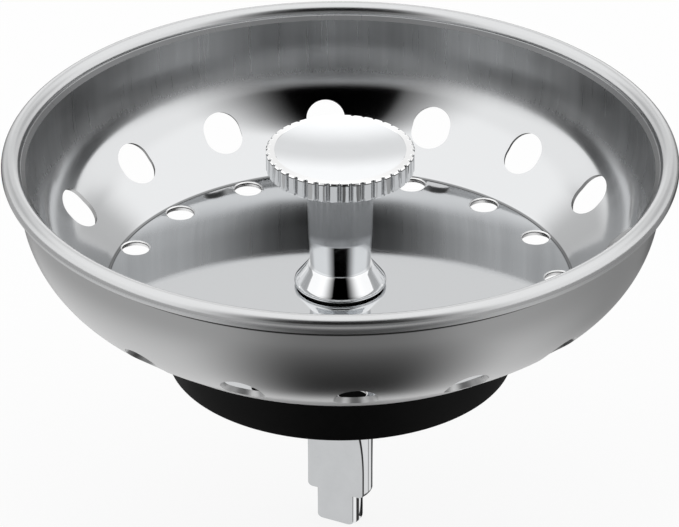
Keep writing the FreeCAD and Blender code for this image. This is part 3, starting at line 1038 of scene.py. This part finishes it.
turnedLook = {
    "stain": (0.5, 3.0, 0.6),
    "ringDensity": 6.0,
    "ringSpread": 0.18,
    "bump": 0.15,
    "bumpDepth": 0.03,
}

nylonLook = {
    "base": grey(0.02),
    "pale": grey(0.035),
    "mottle": (3.0, 3.0, 0.6),
    "roughness": 0.5,
    "spread": 0.2,
    "bump": 0.1,
    "bumpDepth": 0.03,
}


def turnedMetal(name, look, turned):
    material, shades = newLook(name)
    x, y, z, radius = shades.millimetres()
    rings = shades.rings(radius, z, turned["ringDensity"])
    stain = shades.noise(shades.join(x, y, z), *turned["stain"])
    finishLook(shades, {
        "Base Color": shades.blendColours(stain, look["base"], look["stained"]),
        "Metallic": 1.0,
        "Roughness": shades.vary(look["roughness"], rings, turned["ringSpread"]),
        "Normal": shades.bump(rings, turned["bump"], turned["bumpDepth"]),
    })
    return material


def blackNylon(look):
    material, shades = newLook("black_nylon_finish")
    x, y, z, radius = shades.millimetres()
    mottle = shades.noise(shades.join(x, y, z), *look["mottle"])
    finishLook(shades, {
        "Base Color": shades.blendColours(mottle, look["base"], look["pale"]),
        "Roughness": shades.vary(look["roughness"], mottle, look["spread"]),
        "Normal": shades.bump(mottle, look["bump"], look["bumpDepth"]),
    })
    return material


washerSteel = turnedMetal("washer_steel_finish", washerLook, turnedLook)
turnedBrass = turnedMetal("turned_brass_finish", brassLook, turnedLook)
hiddenFinishes = {
    "backing_washer": washerSteel,
    "retaining_washer": washerSteel,
    "lock_washer": washerSteel,
    "spacer_sleeve": turnedBrass,
    "knob_insert": turnedBrass,
    "floor_washer": blackNylon(nylonLook),
}
for nodeName, finish in hiddenFinishes.items():
    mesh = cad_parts[nodeName].data
    mesh.materials.clear()
    mesh.materials.append(finish)
print("hidden hardware finished:", len(hiddenFinishes), "pieces")


# Studio: pale floor, soft light from above, and a dark place where the camera stands

floorSettings = {
    "radius": 3000.0,
    "segments": 96,
    "level": -23.32,
    "colour": grey(0.93),
    "glow": 0.88,
    "beforeTurn": (62, 14),
    "beforeReach": (14, 28),
    "beforeFade": (40, 210),
    "beforeDim": (0.97, 0.58),
    "behindCorner": (3.8, -1.24),
    "behindTurn": (134, 141),
    "behindFade": (300, 160),
    "behindDim": 0.95,
    "behindRightTurn": (112, 128),
    "behindRightSide": (10, 30),
    "behindRightReach": (60, 80),
    "nearLeftSide": (0.0, -1.0),
    "nearLeftReach": (9, 6),
    "rightTurn": (45, 100),
    "leftReach": (45, 110),
    "leftDim": 0.47,
    "rightReach": (22, 60),
    "rightDim": 0.66,
}

worldSettings = {
    "softboxLevel": 1.3,
    "softboxEdge": (31, 42),
    "sideLevel": 1.2,
    "backTurn": (105, 150),
    "backLevel": 0.88,
    "backLowLevel": 1.2,
    "backLowHeight": (28, 19),
    "backLowTurn": (156, 167),
    "cornerBand": (114, 132, 156, 168),
    "cornerHeight": (17, 26),
    "cornerDim": 0.25,
    "frontTurn": (17, 63),
    "frontShift": -2.5,
    "frontTop": (60, 80),
    "frontLowLevel": 0.22,
    "frontLowHeight": (27, 21),
    "cameraWidth": 22.0,
    "cameraSoftness": (0.04, -0.04),
    "cameraShift": 1.5,
    "cameraTop": (63, 59),
}


def radiansOf(angles):
    return [math.radians(angle) for angle in angles]


def heightsOf(angles):
    return [math.sin(math.radians(angle)) for angle in angles]


def floorShade(shades, settings):
    # the dark side of the room as the metal sees it in the floor, before, behind and around the object
    x, y, z, distance = shades.millimetres()
    bearing = shades.maths("ARCTAN2", x, -y)
    before = shades.rise(shades.size(bearing), radiansOf(settings["beforeTurn"]))
    before = before * shades.rise(distance, settings["beforeReach"])
    nearDim, farDim = settings["beforeDim"]
    before = before * shades.blendNumbers(shades.rise(distance, settings["beforeFade"]), nearDim, farDim)

    cornerX, cornerY = settings["behindCorner"]
    behindPost = shades.size(shades.maths("ARCTAN2", shades.size(x) - cornerX, cornerY - y))
    behind = shades.rise(behindPost, radiansOf(settings["behindTurn"]))
    behindRight = shades.rise(behindPost, radiansOf(settings["behindRightTurn"]))
    behindRight = behindRight * shades.rise(x, settings["behindRightSide"])
    behindRight = behindRight * shades.rise(distance, settings["behindRightReach"])
    behind = shades.highest(behind, behindRight)
    nearLeft = shades.rise(x, settings["nearLeftSide"]) * shades.rise(distance, settings["nearLeftReach"])
    behind = behind * shades.rise(distance, settings["behindFade"]) * (1.0 - nearLeft) * settings["behindDim"]

    right = shades.rise(bearing, radiansOf(settings["rightTurn"]))
    leftShade = shades.rise(distance, settings["leftReach"]) * settings["leftDim"]
    rightShade = shades.rise(distance, settings["rightReach"]) * settings["rightDim"]
    around = shades.blendNumbers(right, leftShade, rightShade)
    return shades.highest(around, shades.highest(before, behind))


def layFloor(settings):
    # the floor shows as white to the camera and in the metal, and keeps some of the shadow
    bm = bmesh.new()
    bmesh.ops.create_circle(bm, cap_ends=True, segments=settings["segments"], radius=settings["radius"],
                            matrix=Matrix.Translation((0, 0, settings["level"])))
    floor = meshObject(bm, "studio_floor")
    material, shades = newLook("studio_floor_finish")
    path = shades.node("ShaderNodeLightPath")
    byCamera = shades.out(path, "Is Camera Ray")
    byMetal = shades.highest(shades.out(path, "Is Glossy Ray"), shades.out(path, "Is Transmission Ray"))
    shade = byMetal * floorShade(shades, settings)
    share = shades.highest(byCamera, byMetal) * settings["glow"] + shade * (1 - settings["glow"])
    plain = shades.node("ShaderNodeBsdfDiffuse", None, {"Color": settings["colour"]})
    white = shades.node("ShaderNodeEmission", None, {"Color": grey(1.0), "Strength": 1.0 - shade})
    mixed = shades.node("ShaderNodeMixShader", None, {
        0: share, 1: shades.out(plain, "BSDF"), 2: shades.out(white, "Emission")})
    shades.node("ShaderNodeOutputMaterial", None, {"Surface": shades.out(mixed, "Shader")})
    floor.data.materials.append(material)


def lightWorld(settings, cameraBearing):
    world = bpy.data.worlds.new("studio_world")
    scene.world = world
    world.use_nodes = True
    shades = Shades(world.node_tree)
    coordinates = shades.node("ShaderNodeTexCoord")
    x, y, z = shades.split(shades.out(coordinates, "Generated"))
    aside = x * math.cos(cameraBearing) + y * math.sin(cameraBearing)
    ahead = y * math.cos(cameraBearing) - x * math.sin(cameraBearing)
    bearing = shades.maths("ARCTAN2", aside, -ahead)
    fromSide = shades.size(bearing)
    fromFront = shades.size(bearing + math.radians(settings["frontShift"]))
    fromCamera = shades.size(bearing + math.radians(settings["cameraShift"]))

    # walls of the room: the sides, and the back with a white strip low down and dim corners
    low = shades.rise(z, heightsOf(settings["backLowHeight"]))
    low = low * shades.rise(fromSide, radiansOf(settings["backLowTurn"]))
    backLevel = shades.blendNumbers(low, settings["backLevel"], settings["backLowLevel"])
    back = shades.rise(fromSide, radiansOf(settings["backTurn"]))
    level = shades.blendNumbers(back, settings["sideLevel"], backLevel)
    corner = shades.band(fromSide, radiansOf(settings["cornerBand"]))
    corner = corner * shades.rise(z, heightsOf(settings["cornerHeight"]))
    level = level * (1.0 - corner * settings["cornerDim"])

    # a large soft box overhead
    box = shades.rise(z, heightsOf(settings["softboxEdge"]))
    level = shades.blendNumbers(box, level, settings["softboxLevel"])

    # the room is dark towards the camera, up to the middle of the soft box
    lit = shades.rise(fromFront, radiansOf(settings["frontTurn"]))
    lit = shades.highest(lit, shades.rise(z, heightsOf(settings["frontTop"])))
    frontLow = shades.rise(z, heightsOf(settings["frontLowHeight"]))
    level = shades.blendNumbers(lit, frontLow * settings["frontLowLevel"], level)

    # the camera and whoever holds it
    dark = shades.rise(fromCamera, settings["cameraSoftness"], math.radians(settings["cameraWidth"]))
    dark = dark * (1.0 - frontLow) * shades.rise(z, heightsOf(settings["cameraTop"]))
    level = level * (1.0 - dark)

    light = shades.node("ShaderNodeBackground", None, {"Color": grey(1.0), "Strength": level})
    shades.node("ShaderNodeOutputWorld", None, {"Surface": shades.out(light, "Background")})


viewSettings = {
    "place": (-0.04349, -0.81434, 0.46785),
    "down": 29.164,
    "bearing": -3.05,
    "lens": 404.1,
    "sensorWidth": 36.0,
    "nearest": 0.01,
}


def setCamera(settings):
    camera = bpy.data.cameras.new("photo_camera")
    camera.sensor_fit = "HORIZONTAL"
    camera.sensor_width = settings["sensorWidth"]
    camera.lens = settings["lens"]
    camera.clip_start = settings["nearest"]
    holder = bpy.data.objects.new("photo_camera", camera)
    holder.location = settings["place"]
    holder.rotation_euler = (math.radians(90 - settings["down"]), 0, math.radians(settings["bearing"]))
    scene.collection.objects.link(holder)
    scene.camera = holder


layFloor(floorSettings)
lightWorld(worldSettings, math.radians(viewSettings["bearing"]))
setCamera(viewSettings)
scene.view_settings.view_transform = "Standard"
print("studio set")
